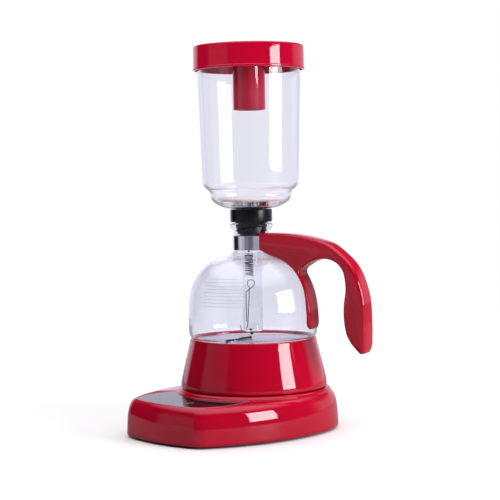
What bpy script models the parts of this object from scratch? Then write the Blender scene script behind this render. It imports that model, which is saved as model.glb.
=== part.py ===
"""An electric siphon coffee maker, one object for each physical piece, at real size.

The upper glass chamber stands in the neck of the lower glass pot. The pot lifts off a heated
base and turns on it. The pot's axis is vertical, +Z is up, and the base's nose points along -Y.
The outlines below are in millimetres, as (radius, height) unless a comment says otherwise. The
last step moves everything so that the origin is under the middle of the object.
"""

import math

import bmesh
import bpy
from mathutils import Matrix, Vector

MM = 0.001
GAP = 0.3  # between pieces that touch

ROUND_LARGE = 32  # sides of the large turned pieces
ROUND_MEDIUM = 22
ROUND_SMALL = 12
SHARP_ANGLE = math.radians(32)

# Directions about the pot's axis, counted from +X.
HANDLE_ANGLE = math.radians(16)
HOOK_ANGLE = math.radians(226)
CHAIN_ANGLE = math.radians(285)

# Base outline: four arcs that touch, each with its own centre, so an inset is a smaller radius.
BACK_RADIUS = 80.0
SIDE_RADIUS = 165.0
SIDE_FORWARD = 20.0  # the base is widest this far in front of the pot's axis
FRONT_RADIUS = 165.0
FRONT_REACH = 126.0
CORNER_RADIUS = 24.0
BACK_STEPS = 10
SIDE_STEPS = 4
CORNER_STEPS = 4
FRONT_STEPS = 3

# Base heights.
FOOT_HEIGHT = 2.3
PLATE_BOTTOM = FOOT_HEIGHT + GAP
PLATE_TOP = 4.8
HOUSING_BOTTOM = 2.0
HOUSING_TOP = 35.7
HOUSING_CEILING = 32.0
HOUSING_WALL = 2.4
DECK_INSET = 8.6  # from the outline to where the flat deck starts
SEAT_TOP = 38.7
SEAT_INNER_RADIUS = 58.0
SEAT_FLOOR = 34.0
CONNECTOR_HOLE_RADIUS = 20.0
PANEL_INNER_RADIUS = 75.6
PANEL_THICKNESS = 1.2

BOARD_BOTTOM = 8.0
BOARD_THICKNESS = 1.6
INLET_HEIGHT = 13.0
INLET_RADIUS = 4.6
INLET_BORE_RADIUS = 3.3
POST_RADIUS = 4.0
POST_HOLE_RADIUS = 2.1
POST_HOLE_TOP = 15.0
SCREW_RADIUS = 1.6
FOOT_STEM_RADIUS = 3.0
FOOT_SPOTS = ((46, -88), (-46, -88), (52, 38), (-52, 38))
SCREW_SPOTS = ((59, -66), (-59, -66), (38, 50), (-38, 50))

# Pot heights and radii. All heights from here on are counted from POT_DATUM, not from the table.
POT_DATUM = 2.5
RIM_BOTTOM = 37.0
SKIRT_TOP = 83.6
SKIRT_WALL = 2.2
COVER_BOTTOM = 38.2
COVER_THICKNESS = 2.2
COVER_RADIUS = 66.4
HEATER_TOP = 81.5
HEATER_RADIUS = 54.4
GLASS_FOOT = 76.0
GLASS_WALL = 2.2
NECK_RADIUS = 16.9
NECK_TOP = 192.2
BAND_RADIUS = 18.0
BAND_THICKNESS = 0.8
BAND_BOTTOM = 166.8
BAND_TOP = 180.2

# Handle, in its own plane: distance from the pot's axis and height.
HANDLE_HALF_WIDTH = 9.8
HANDLE_BEVEL = 1.7
DOME_CLEARANCE = 0.9
CLAMP_SCREW_AT = (28.5, 173.6)
CLAMP_SCREW_RADIUS = 1.9
HEAD_SEAT = 5.0
EAR_GAP = 1.3  # from the handle's middle plane to the inner face of each ear
SLOT_LOW = -6.4  # the slot for the ears and the nut, across the handle
SLOT_HIGH = 3.3
SLOT_LENGTH = 22.0
SLOT_HEIGHT = 20.0
SLOT_TOP = BAND_TOP + 0.2
COVER_SCREW_RADIUS = 50.0
COVER_SCREW_ANGLES = [math.radians(90 + 120 * i) for i in range(3)]

# Upper chamber.
STEM_RADIUS = 9.3
STEM_WALL = 1.3
STEM_END = 89.5
GLASS_RIM = 347.0
STOPPER_TOP = 205.3
STOPPER_BOTTOM = 178.5
FLANGE_RADIUS = 19.9
FLANGE_BOTTOM = 193.2

# Lid.
LID_BOTTOM = 336.4
LID_TOP = 359.3
LID_RADIUS = 52.9
LID_WALL = 2.3
LID_CEILING = 356.6  # underside of the cap's flat top
LID_LEDGE_RADIUS = 45.5  # the lid rests on the glass's rim outside this radius
TUBE_RADIUS = 15.3
TUBE_WALL = 2.2
TUBE_BOTTOM = 299.0

# Filter, hung off-centre inside the stem.
FILTER_RADIUS = 31.8
DISC_RADIUS = 28.0
DISC_TOP = 215.2
SPRING_OFFSET = 2.9
SPRING_RADIUS = 4.2
SPRING_BOTTOM = 141.5
SPRING_TOP = 160.5
SPRING_TURNS = 9.5
WIRE_RADIUS = 0.45

# Chain.
BEAD_RADIUS = 1.45
BEAD_PITCH = 3.9
CHAIN_TOP = 92.4
CHAIN_TOP_RADIUS = 2.6
CHAIN_CORNER = (0.6, -0.4, 84.0)  # where the hanging beads meet the lying ones

RED = (0.52, 0.004, 0.022)
BLACK = (0.012, 0.012, 0.014)
RUBBER = (0.02, 0.02, 0.022)
STEEL = (0.72, 0.72, 0.74)
GLASS = (0.93, 0.93, 0.98)


# --- Curves -------------------------------------------------------------------------------


def arc(centre, radius, start, end, steps):
    """Points on a circular arc, both ends included. Angles are in radians."""
    angles = [start + (end - start) * i / steps for i in range(steps + 1)]
    return [(centre[0] + radius * math.cos(a), centre[1] + radius * math.sin(a)) for a in angles]


def smooth_curve(points, steps):
    """A Catmull-Rom curve through the points, with this many spans between each two of them."""
    ends = [points[0]] + list(points) + [points[-1]]
    curve = []
    for i in range(1, len(ends) - 2):
        before, here, there, after = (Vector(p) for p in ends[i - 1 : i + 3])
        for step in range(steps):
            t = step / steps
            curve.append(
                0.5
                * (
                    2 * here
                    + (there - before) * t
                    + (2 * before - 5 * here + 4 * there - after) * t**2
                    + (3 * here - before - 3 * there + after) * t**3
                )
            )
    curve.append(Vector(points[-1]))
    return [tuple(p) for p in curve]


def offset_left(points, distance):
    """The open curve moved by this distance to the left of its direction of travel."""
    moved = []
    for i, point in enumerate(points):
        before = Vector(points[max(i - 1, 0)])
        after = Vector(points[min(i + 1, len(points) - 1)])
        along = (after - before).normalized()
        moved.append((point[0] - along.y * distance, point[1] + along.x * distance))
    return moved


def polar(radius, angle):
    return (radius * math.cos(angle), radius * math.sin(angle))


# --- Solids -------------------------------------------------------------------------------


def material(name, colour, roughness, metallic=0.0, transmission=0.0):
    made = bpy.data.materials.new(name)
    made.use_nodes = True
    shader = made.node_tree.nodes["Principled BSDF"]
    shader.inputs["Base Color"].default_value = (*colour, 1.0)
    shader.inputs["Roughness"].default_value = roughness
    shader.inputs["Metallic"].default_value = metallic
    shader.inputs["Transmission Weight"].default_value = transmission
    made.diffuse_color = (*colour, 1.0)
    return made


def make_object(name, shape, finish, parent, location=(0, 0, 0), turn=0.0):
    """An object from a bmesh in millimetres. finish is a tuple for material()."""
    bmesh.ops.scale(shape, vec=(MM, MM, MM), verts=shape.verts)
    bmesh.ops.recalc_face_normals(shape, faces=shape.faces)
    mesh = bpy.data.meshes.new(name)
    shape.to_mesh(mesh)
    shape.free()
    mesh.shade_smooth()
    mesh.set_sharp_from_angle(angle=SHARP_ANGLE)
    obj = bpy.data.objects.new(name, mesh)
    bpy.context.scene.collection.objects.link(obj)
    if finish:
        obj.data.materials.append(material(name, *finish))
    obj.parent = parent
    obj.location = Vector(location) * MM
    obj.rotation_euler.z = turn
    return obj


def turned(profile, sides):
    """The closed profile of (radius, height) turned about Z. Its ends may lie on the axis."""
    shape = bmesh.new()
    rings = []
    for radius, height in profile:
        if radius < 1e-6:
            rings.append([shape.verts.new((0, 0, height))])
            continue
        circle = [polar(radius, 2 * math.pi * i / sides) for i in range(sides)]
        rings.append([shape.verts.new((x, y, height)) for x, y in circle])
    for first, second in zip(rings, rings[1:] + rings[:1]):
        for i in range(sides):
            j = (i + 1) % sides
            corners = [first[i % len(first)], first[j % len(first)]]
            corners += [second[j % len(second)], second[i % len(second)]]
            corners = list(dict.fromkeys(corners))
            if len(corners) > 2:
                shape.faces.new(corners)
    return shape


def lofted(loops):
    """A skin over loops of equal length, with flat ends. Each loop is a list of 3-D points."""
    shape = bmesh.new()
    rings = [[shape.verts.new(p) for p in loop] for loop in loops]
    count = len(rings[0])
    for first, second in zip(rings, rings[1:]):
        for i in range(count):
            j = (i + 1) % count
            shape.faces.new((first[i], first[j], second[j], second[i]))
    shape.faces.new(reversed(rings[0]))
    shape.faces.new(rings[-1])
    return shape


def extruded(outline, low, high):
    """A flat outline of (x, y) points, from one height to the other."""
    return lofted([[(x, y, z) for x, y in outline] for z in (low, high)])


def box(size, centre=(0, 0, 0)):
    shape = bmesh.new()
    bmesh.ops.create_cube(shape, size=1.0)
    bmesh.ops.scale(shape, vec=size, verts=shape.verts)
    bmesh.ops.translate(shape, vec=centre, verts=shape.verts)
    return shape


def cylinder(radius, low, high, sides=ROUND_SMALL):
    return turned([(0, high), (radius, high), (radius, low), (0, low)], sides)


def swept(path, radii, sides):
    """A round tube along the path. radii holds one radius for each point."""
    shape = bmesh.new()
    points = [Vector(p) for p in path]
    side = None
    rings = []
    for i, point in enumerate(points):
        along = (points[min(i + 1, len(points) - 1)] - points[max(i - 1, 0)]).normalized()
        if side is None:
            side = along.orthogonal().normalized()
        side = (side - along * side.dot(along)).normalized()
        other = along.cross(side)
        ring = []
        for k in range(sides):
            x, y = polar(radii[i], 2 * math.pi * k / sides)
            ring.append(shape.verts.new(point + side * x + other * y))
        rings.append(ring)
    for first, second in zip(rings, rings[1:]):
        for k in range(sides):
            j = (k + 1) % sides
            shape.faces.new((first[k], first[j], second[j], second[k]))
    shape.faces.new(reversed(rings[0]))
    shape.faces.new(rings[-1])
    return shape


def lie_along_y(shape):
    """Turns a shape made along Z so that it lies along Y, its top towards +Y."""
    bmesh.ops.rotate(shape, cent=(0, 0, 0), matrix=Matrix.Rotation(-math.pi / 2, 3, "X"), verts=shape.verts)
    return shape


def combine(target, helpers, operation):
    """Adds one boolean modifier for each helper shape, which joins it to the target or cuts it out."""
    for index, shape in enumerate(helpers):
        helper = make_object(f"{target.name}_helper_{index}", shape, None, target.parent)
        helper.location = target.location
        helper.rotation_euler = target.rotation_euler
        helper.hide_render = True
        helper.display_type = "WIRE"
        modifier = target.modifiers.new(operation.title(), "BOOLEAN")
        modifier.operation = operation
        modifier.object = helper


def frame(name, parent):
    """An empty on the pot's axis, which the pieces of one moving body hang from."""
    empty = bpy.data.objects.new(name, None)
    bpy.context.scene.collection.objects.link(empty)
    empty.parent = parent
    return empty


# --- Base ---------------------------------------------------------------------------------


def arc_centres():
    """Centres of the side, corner and front arcs on the +X side."""
    reach = SIDE_RADIUS - BACK_RADIUS
    side = Vector((-math.sqrt(reach**2 - SIDE_FORWARD**2), -SIDE_FORWARD))
    front = Vector((0, FRONT_RADIUS - FRONT_REACH))
    from_side = SIDE_RADIUS - CORNER_RADIUS
    from_front = FRONT_RADIUS - CORNER_RADIUS
    apart = (front - side).length
    along = (apart**2 + from_side**2 - from_front**2) / (2 * apart)
    across = math.sqrt(from_side**2 - along**2)
    unit = (front - side) / apart
    corner = side + unit * along + Vector((unit.y, -unit.x)) * across
    return side, corner, front


def base_outline(inset):
    """The base's plan, moved inwards, starting at its back and going round by +X."""
    side, corner, front = arc_centres()
    side_start = math.atan2(-side.y, -side.x)
    side_end = math.atan2(corner.y - side.y, corner.x - side.x)
    front_start = math.atan2(corner.y - front.y, corner.x - front.x)
    half = arc((0, 0), BACK_RADIUS - inset, math.pi / 2, side_start, BACK_STEPS)
    half += arc(side, SIDE_RADIUS - inset, side_start, side_end, SIDE_STEPS)[1:]
    half += arc(corner, CORNER_RADIUS - inset, side_end, front_start, CORNER_STEPS)[1:]
    half += arc(front, FRONT_RADIUS - inset, front_start, -math.pi / 2, FRONT_STEPS)[1:]
    return half + [(-x, y) for x, y in half[-2:0:-1]]


def base_loop(inset, height):
    return [(x, y, height) for x, y in base_outline(inset)]


def base_housing(parent):
    """Red shell, open below, with a raised round seat and a shallow recess for the panel."""
    inside = [(HOUSING_WALL, HOUSING_BOTTOM), (3.6, 18), (5.4, 26), (8.0, 30.4), (12.0, HOUSING_CEILING)]
    outside = [(0, HOUSING_BOTTOM), (0.3, 11), (1.0, 20), (2.2, 27), (3.9, 31.6), (5.9, 34.2)]
    outside.append((DECK_INSET, HOUSING_TOP))
    loops = [base_loop(inset, height) for inset, height in inside[::-1] + outside]
    housing = make_object("base_housing", lofted(loops), (RED, 0.12), parent)
    post_holes = [cylinder(POST_HOLE_RADIUS, PLATE_TOP - 1, POST_HOLE_TOP) for _ in SCREW_SPOTS]
    posts = [cylinder(POST_RADIUS, PLATE_TOP + GAP, SEAT_FLOOR) for _ in SCREW_SPOTS]
    for post, hole, (x, y) in zip(posts, post_holes, SCREW_SPOTS):
        bmesh.ops.translate(post, vec=(x, y, 0), verts=post.verts)
        bmesh.ops.translate(hole, vec=(x, y, 0), verts=hole.verts)
    combine(housing, [seat_ring()] + posts, "UNION")
    recess = extruded(panel_outline(GAP), HOUSING_TOP - PANEL_THICKNESS - GAP, SEAT_TOP)
    inlet = lie_along_y(cylinder(INLET_RADIUS + GAP, BACK_RADIUS - 12, BACK_RADIUS + 4))
    bmesh.ops.translate(inlet, vec=(0, 0, INLET_HEIGHT), verts=inlet.verts)
    combine(housing, [seat_hollow(), recess, inlet] + post_holes, "DIFFERENCE")


def seat_ring():
    """The rounded ring round the pot's seat, flush with the shoulder at the back."""
    curve = ((68.8, 0), (70.8, 0.5), (72.0, 1.6), (72.7, 3.0), (73.0, 4.4))
    outer = [(radius, SEAT_TOP - drop) for radius, drop in curve]
    inner = [(SEAT_INNER_RADIUS, outer[-1][1]), (SEAT_INNER_RADIUS, SEAT_TOP)]
    return turned(outer + inner, ROUND_LARGE)


def seat_hollow():
    """What is cut away to leave the seat: a round well with a hole for the connector."""
    above = SEAT_TOP + 2
    below = SEAT_FLOOR - 4
    well = [(0, above), (SEAT_INNER_RADIUS, above), (SEAT_INNER_RADIUS, SEAT_FLOOR)]
    hole = [(CONNECTOR_HOLE_RADIUS, SEAT_FLOOR), (CONNECTOR_HOLE_RADIUS, below), (0, below)]
    return turned(well + hole, ROUND_LARGE)


def panel_outline(margin):
    """A crescent round the front of the seat, ending in two points. margin widens it all round."""
    side = [(0, -117), (23.5, -115.6), (37.6, -112.2), (47.2, -104.2), (52.4, -93), (53.6, -79)]
    side.append((52.6, -66.5))
    tip_angle = math.radians(-47)
    side.append(polar(PANEL_INNER_RADIUS, tip_angle))
    half = offset_left(smooth_curve(side, 2), -margin)
    inner = arc((0, 0), PANEL_INNER_RADIUS - margin, tip_angle, -math.pi / 2, 9)
    half += inner
    return half + [(-x, y) for x, y in half[-2:0:-1]]


def touch_panel(parent):
    shape = extruded(panel_outline(0), HOUSING_TOP - PANEL_THICKNESS, HOUSING_TOP)
    make_object("touch_panel", shape, (BLACK, 0.05), parent)


def base_bottom_plate(parent):
    outline = base_outline(HOUSING_WALL + 3 * GAP)
    shape = extruded(outline, PLATE_BOTTOM, PLATE_TOP)
    plate = make_object("base_bottom_plate", shape, (BLACK, 0.5), parent)
    holes = [(spot, FOOT_STEM_RADIUS + GAP) for spot in FOOT_SPOTS]
    holes += [(spot, SCREW_RADIUS + GAP) for spot in SCREW_SPOTS]
    cutters = []
    for (x, y), radius in holes:
        cutter = cylinder(radius, PLATE_BOTTOM - 1, PLATE_TOP + 1)
        bmesh.ops.translate(cutter, vec=(x, y, 0), verts=cutter.verts)
        cutters.append(cutter)
    combine(plate, cutters, "DIFFERENCE")


def feet(parent):
    profile = [(0, 0), (7.4, 0), (8.5, 1.0), (8.5, FOOT_HEIGHT), (FOOT_STEM_RADIUS, FOOT_HEIGHT)]
    profile += [(FOOT_STEM_RADIUS, PLATE_TOP + 1.2), (0, PLATE_TOP + 1.2)]
    for number, (x, y) in enumerate(FOOT_SPOTS, 1):
        make_object(f"foot_{number}", turned(profile, ROUND_SMALL), (RUBBER, 0.7), parent, (x, y, 0))


def pan_head_screw(length, radius, head_radius, head_height):
    """A screw pointing up, its head's underside at height 0."""
    head = [(0, -head_height), (head_radius * 0.8, -head_height), (head_radius, -head_height * 0.5)]
    shank = [(head_radius, 0), (radius, 0), (radius, length - radius), (0, length)]
    return turned(head + shank, 10)


def base_screws(parent):
    under_plate = PLATE_BOTTOM - GAP
    for number, (x, y) in enumerate(SCREW_SPOTS, 1):
        shape = pan_head_screw(10, SCREW_RADIUS, 3.2, 1.4)
        make_object(f"base_screw_{number}", shape, (STEEL, 0.3, 1.0), parent, (x, y, under_plate))


def base_connector(parent):
    """The round plug that the pot drops onto, fixed from below in the seat's hole."""
    flange_top = HOUSING_CEILING - GAP
    body = [(0, 49.5), (12.4, 49.5), (13.6, 48.3), (13.6, flange_top), (18.6, flange_top)]
    body += [(18.6, 22), (0, 22)]
    make_object("base_connector", turned(body, ROUND_MEDIUM), (BLACK, 0.4), parent)


def electronics(parent):
    """The boards and parts under the nose, stacked on the bottom plate."""
    green = ((0.02, 0.11, 0.04), 0.5)
    board_top = BOARD_BOTTOM + BOARD_THICKNESS
    over_board = board_top + GAP
    board = box((96, 50, BOARD_THICKNESS), (0, -62, BOARD_BOTTOM + BOARD_THICKNESS / 2))
    make_object("control_board", board, green, parent)
    pillars = [(x, y) for x in (-42, 42) for y in (-82, -42)]
    for number, (x, y) in enumerate(pillars, 1):
        pillar = cylinder(3, PLATE_TOP + GAP, BOARD_BOTTOM - GAP, 8)
        make_object(f"board_pillar_{number}", pillar, ((0.7, 0.7, 0.66), 0.6), parent, (x, y, 0))
    relay = box((19, 15, 15), (22, -66, over_board + 7.5))
    make_object("power_relay", relay, ((0.02, 0.08, 0.3), 0.5), parent)
    core = box((24, 20, 16), (-22, -66, over_board + 8))
    make_object("transformer", core, ((0.75, 0.6, 0.1), 0.5), parent)
    make_object("buzzer", cylinder(6, over_board, over_board + 8), (BLACK, 0.5), parent, (0, -52, 0))
    touch = box((72, 14, 1.2), (0, -90, HOUSING_CEILING - 1.4))
    make_object("touch_board", touch, green, parent)


def cord_inlet_bush(parent):
    """The grommet in the back wall of the base where a mains cord would enter."""
    outer, wall_side, inner = BACK_RADIUS - 0.9, BACK_RADIUS - 4.6, BACK_RADIUS - 7
    profile = [(INLET_BORE_RADIUS, outer), (INLET_RADIUS, outer), (INLET_RADIUS, wall_side)]
    profile += [(6.4, wall_side), (6.4, inner), (INLET_BORE_RADIUS, inner)]
    shape = lie_along_y(turned(profile, ROUND_SMALL))
    make_object("cord_inlet_bush", shape, (RUBBER, 0.6), parent, (0, 0, INLET_HEIGHT))


# --- Pot ----------------------------------------------------------------------------------


def dome_outside():
    """The glass's outer side from under the neck band down to where it enters the skirt."""
    points = [(NECK_RADIUS, 166), (18.6, 164), (24, 161.2), (32, 158.4), (39.5, 154.8), (46.4, 149.6)]
    points += [(53.6, 140.6), (58.2, 130.6), (60.4, 117), (61.3, 99), (60.8, 87.5)]
    return smooth_curve(points, 1)


def pot_glass(parent):
    """One blown piece: rolled lip, straight neck, dome, and a foot that stands on the seal."""
    lip = [(17.0, NECK_TOP), (19.4, NECK_TOP), (20.3, 190.4), (19.8, 188.2), (18.2, 186.4)]
    neck = [(NECK_RADIUS, 183.5)]
    foot = [(59.4, 85.0), (57.4, 83.2), (57.2, GLASS_FOOT)]
    outside = lip + neck + dome_outside() + foot
    inner_foot = [(57.2 - GLASS_WALL, GLASS_FOOT), (57.2 - GLASS_WALL, 83.6), (57.4, 85.8)]
    dome = offset_left(dome_outside()[1:], -GLASS_WALL)
    inner_neck = [(14.9, 163), (14.9, 183.5), (15.9, 188)]
    profile = outside + inner_foot + dome[::-1] + inner_neck
    make_object("pot_glass", turned(profile, ROUND_LARGE), (GLASS, 0.02, 0.0, 1.0), parent)


def heater_plate(parent):
    """A shallow steel pan, upside down: the pot's floor, with a flange below for the seal."""
    top = [(0, HEATER_TOP), (HEATER_RADIUS - 1.2, HEATER_TOP), (HEATER_RADIUS, HEATER_TOP - 1.2)]
    flange = [(HEATER_RADIUS, 73), (58.4, 73), (58.4, 71.8), (HEATER_RADIUS - 1.2, 71.8)]
    under = [(HEATER_RADIUS - 1.2, HEATER_TOP - 2.0), (0, HEATER_TOP - 2.0)]
    make_object("heater_plate", turned(top + flange + under, ROUND_LARGE), (STEEL, 0.25, 1.0), parent)


def glass_seal(parent):
    inner, outer, low = HEATER_RADIUS + GAP, 58.3, 73 + GAP
    profile = [(inner, GLASS_FOOT - GAP), (outer, GLASS_FOOT - GAP), (outer, low), (inner, low)]
    make_object("glass_seal", turned(profile, ROUND_LARGE), ((0.85, 0.85, 0.85), 0.5), parent)


def heating_element(parent):
    """A tube bent into most of a circle, pressed against the underside of the plate."""
    centre = HEATER_TOP - 2.0 - GAP - 3.6
    angles = [math.radians(20 + 320 * i / 26) for i in range(27)]
    path = [(*polar(34, a), centre) for a in angles]
    make_object("heating_element", swept(path, [3.6] * len(path), 8), (STEEL, 0.4, 1.0), parent)


def thermostat(parent):
    top = HEATER_TOP - 2.0 - GAP
    profile = [(0, top), (8, top), (8, top - 5), (11, top - 5), (11, top - 7), (7, top - 7)]
    profile += [(7, top - 14), (0, top - 14)]
    make_object("thermostat", turned(profile, ROUND_SMALL), (BLACK, 0.5), parent)


def pot_skirt(parent):
    """The red shell round the heater: near-upright at the top, flaring, with a short upright rim."""
    curve = [(59.9, SKIRT_TOP), (61.2, 76.4), (66.3, 55.4), (68.6, 45.5), (69.4, 40), (69.3, RIM_BOTTOM)]
    inside = offset_left(curve, -SKIRT_WALL)[::-1]
    make_object("pot_skirt", turned(curve + inside, ROUND_LARGE), (RED, 0.12), parent)


def pot_base_cover(parent):
    """The black floor of the pot, with a rib that rests on the base's seat."""
    bottom, top = COVER_BOTTOM, COVER_BOTTOM + COVER_THICKNESS
    rib_low = SEAT_TOP + GAP - POT_DATUM
    profile = [(18, top), (COVER_RADIUS, top), (COVER_RADIUS, bottom), (64, bottom), (64, rib_low)]
    profile += [(60, rib_low), (60, bottom), (18, bottom)]
    cover = make_object("pot_base_cover", turned(profile, ROUND_LARGE), (BLACK, 0.5), parent)
    cutters = []
    for angle in COVER_SCREW_ANGLES:
        x, y = polar(COVER_SCREW_RADIUS, angle)
        cutter = cylinder(SCREW_RADIUS + GAP, bottom - 1, top + 1, 10)
        bmesh.ops.translate(cutter, vec=(x, y, 0), verts=cutter.verts)
        cutters.append(cutter)
    combine(cover, cutters, "DIFFERENCE")


def cover_screws(parent):
    for number, angle in enumerate(COVER_SCREW_ANGLES, 1):
        x, y = polar(COVER_SCREW_RADIUS, angle)
        shape = pan_head_screw(14, SCREW_RADIUS, 3.2, 1.4)
        place = (x, y, COVER_BOTTOM - GAP)
        make_object(f"cover_screw_{number}", shape, (STEEL, 0.3, 1.0), parent, place)


def pot_connector(parent):
    """The round socket in the pot's floor that fits over the base's plug at any angle."""
    profile = [(0, 52), (17.4, 52), (17.4, 33), (14.4, 33), (14.4, 49), (0, 49)]
    make_object("pot_connector", turned(profile, ROUND_MEDIUM), (BLACK, 0.4), parent)


def neck_band(parent):
    """A chrome strap round the neck, its two ears side by side inside the handle."""
    inner = BAND_RADIUS - BAND_THICKNESS
    gap_angle = math.asin((EAR_GAP + BAND_THICKNESS) / BAND_RADIUS)
    ear_end = CLAMP_SCREW_AT[0] + 5
    outer = arc((0, 0), BAND_RADIUS, gap_angle, 2 * math.pi - gap_angle, ROUND_MEDIUM)
    inner_gap = math.asin(EAR_GAP / inner)
    inside = arc((0, 0), inner, 2 * math.pi - inner_gap, inner_gap, ROUND_MEDIUM)
    first_ear = [(ear_end, EAR_GAP), (ear_end, EAR_GAP + BAND_THICKNESS)]
    second_ear = [(x, -y) for x, y in first_ear[::-1]]
    shape = extruded(outer + second_ear + inside + first_ear, BAND_BOTTOM, BAND_TOP)
    band = make_object("neck_band", shape, (STEEL, 0.06, 1.0), parent, turn=HANDLE_ANGLE)
    combine(band, [clamp_axis_rod(CLAMP_SCREW_RADIUS + GAP, -12, 12)], "DIFFERENCE")


def clamp_axis_rod(radius, low, high):
    """A rod along the clamp screw's axis, in the handle's frame."""
    rod = lie_along_y(cylinder(radius, low, high, 12))
    bmesh.ops.translate(rod, vec=(CLAMP_SCREW_AT[0], 0, CLAMP_SCREW_AT[1]), verts=rod.verts)
    return rod


def band_screw(parent):
    """It goes in from the handle's far side, through both ears, into the nut."""
    shape = lie_along_y(pan_head_screw(11.0, CLAMP_SCREW_RADIUS, 3.4, 2.2))
    bmesh.ops.rotate(shape, cent=(0, 0, 0), matrix=Matrix.Rotation(math.pi, 3, "Z"), verts=shape.verts)
    bmesh.ops.translate(shape, vec=(CLAMP_SCREW_AT[0], HEAD_SEAT, CLAMP_SCREW_AT[1]), verts=shape.verts)
    make_object("band_screw", shape, (STEEL, 0.3, 1.0), parent, turn=HANDLE_ANGLE)


def band_nut(parent):
    """A square nut held in the handle's slot beside the near ear."""
    high = -EAR_GAP - BAND_THICKNESS - GAP
    shape = box((6.4, 2.6, 6.4), (CLAMP_SCREW_AT[0], high - 1.3, CLAMP_SCREW_AT[1]))
    nut = make_object("band_nut", shape, (STEEL, 0.3, 1.0), parent, turn=HANDLE_ANGLE)
    combine(nut, [clamp_axis_rod(CLAMP_SCREW_RADIUS + GAP, -12, 12)], "DIFFERENCE")


def handle_outline():
    """Beam, arched grip with a rounded tip, finger gap, and the tongue that follows the dome."""
    top = [(13, 183), (41, 182.3), (62, 179.6), (83, 174), (95, 166.5), (105.8, 157), (112.6, 147.5)]
    outer = [(117.3, 136), (120.9, 122), (121.9, 105), (122, 91), (121.5, 79)]
    tip = [(119.9, 72.9), (117.4, 70.8), (114.3, 72)]
    inner = [(107.4, 81.5), (102.2, 91), (100, 104), (100.1, 117), (101.8, 129), (101.6, 138.5)]
    arch = [(99.4, 148), (93.6, 155), (85.6, 158.5), (77, 159), (68.6, 157), (61.6, 153.4)]
    crotch = [(54.6, 149.8), (54.8, 144.5)]
    tongue = [(59.2, 136.5), (63.4, 126), (65.7, 114), (66.7, 103), (66.6, 96.5), (65.8, 93)]
    tongue_tip = [(64.2, 91.6), (62.7, 93)]
    return smooth_curve(top + outer + tip + inner + arch + crotch + tongue + tongue_tip, 2)


def handle_body(parent):
    """Moulded handle, slotted at its head for the band's ears and the nut."""
    hugging = offset_left(dome_outside()[2:], DOME_CLEARANCE)
    hugging = [p for p in hugging if p[1] > 96]
    outline = handle_outline() + hugging[::-1] + [(13, 167.4)]
    half = HANDLE_HALF_WIDTH
    shape = lofted([[(x, y, z) for x, z in outline] for y in (half, -half)])
    handle = make_object("handle_body", shape, (RED, 0.12), parent, turn=HANDLE_ANGLE)
    bevel = handle.modifiers.new("Bevel", "BEVEL")
    bevel.width = HANDLE_BEVEL * MM
    bevel.segments = 2
    bevel.angle_limit = math.radians(60)
    slot_width = SLOT_HIGH - SLOT_LOW
    slot_middle = (CLAMP_SCREW_AT[0] - 4, (SLOT_LOW + SLOT_HIGH) / 2, SLOT_TOP - SLOT_HEIGHT / 2)
    slot = box((SLOT_LENGTH, slot_width, SLOT_HEIGHT), slot_middle)
    saddle = cylinder(BAND_RADIUS + GAP, 160, 186, ROUND_MEDIUM)
    bore = clamp_axis_rod(CLAMP_SCREW_RADIUS + GAP, 0, 12)
    counterbore = clamp_axis_rod(3.9, HEAD_SEAT - GAP, 12)
    combine(handle, [slot, saddle, bore, counterbore], "DIFFERENCE")


# --- Upper chamber ------------------------------------------------------------------------


def upper_glass(parent):
    """One blown piece: straight chamber, step, shallow bowl, and the long stem."""
    wall = [(48.9, GLASS_RIM), (47.6, 300), (46.2, 248), (45.6, 231)]
    step = [(45.0, 228), (42.4, 224.9), (39.2, 222.4), (38.3, 220.2), (38.5, 217), (36.9, 213.8)]
    bowl = [(34.2, 211.3), (28, 208), (20, 206), (14.6, 205.7)]
    outside = wall + step + bowl + [(11.4, 203.8), (STEM_RADIUS, 199.6), (STEM_RADIUS, STEM_END)]
    bore = STEM_RADIUS - STEM_WALL
    inner_stem = [(bore, STEM_END), (bore, 201), (9.8, 205.4), (14.2, 207.7), (20, 208.1)]
    inner_bowl = offset_left(wall[1:] + step + bowl[:2], -GLASS_WALL)[::-1]
    profile = outside + inner_stem + inner_bowl + [(48.9 - GLASS_WALL, GLASS_RIM)]
    make_object("upper_glass", turned(profile, ROUND_LARGE), (GLASS, 0.02, 0.0, 1.0), parent)


def stopper(parent):
    """Black rubber: a flange under the bowl and a ribbed plug that seals the pot's neck."""
    flange = [(15.6, STOPPER_TOP), (FLANGE_RADIUS - 0.8, STOPPER_TOP), (FLANGE_RADIUS, 204.4)]
    flange += [(FLANGE_RADIUS, 194), (FLANGE_RADIUS - 0.8, FLANGE_BOTTOM)]
    plug = [(15.4, FLANGE_BOTTOM), (15.2, 189.2), (14.5, 188.2), (14.5, 186.6), (14.4, 185.4)]
    plug += [(13.2, 184.4), (13.0, 182), (12.0, STOPPER_BOTTOM)]
    bore = [(STEM_RADIUS + GAP, STOPPER_BOTTOM), (STEM_RADIUS + GAP, 199.3)]
    make_object("stopper", turned(flange + plug + bore, ROUND_MEDIUM), (RUBBER, 0.45), parent)


def filter_disc(parent):
    """Perforated steel disc with a rod that hangs down the stem and ends in a small eye."""
    low = DISC_TOP - 2.0
    profile = [(0, DISC_TOP), (DISC_RADIUS - 0.6, DISC_TOP), (DISC_RADIUS, DISC_TOP - 0.6)]
    profile += [(DISC_RADIUS, low), (3.2, low), (2.4, low - 5), (0, low - 5)]
    disc = make_object("filter_disc", turned(profile, ROUND_MEDIUM), (STEEL, 0.3, 1.0), parent)
    bottom = SPRING_TOP + 2.2
    offset = polar(SPRING_OFFSET, HOOK_ANGLE)
    path = [(0, 0, low - 4), (0, 0, low - 12), (offset[0], offset[1], bottom + 14), (*offset, bottom)]
    curve = smooth_curve(path, 4)
    combine(disc, [swept(curve, [0.9] * len(curve), 6)], "UNION")


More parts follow.
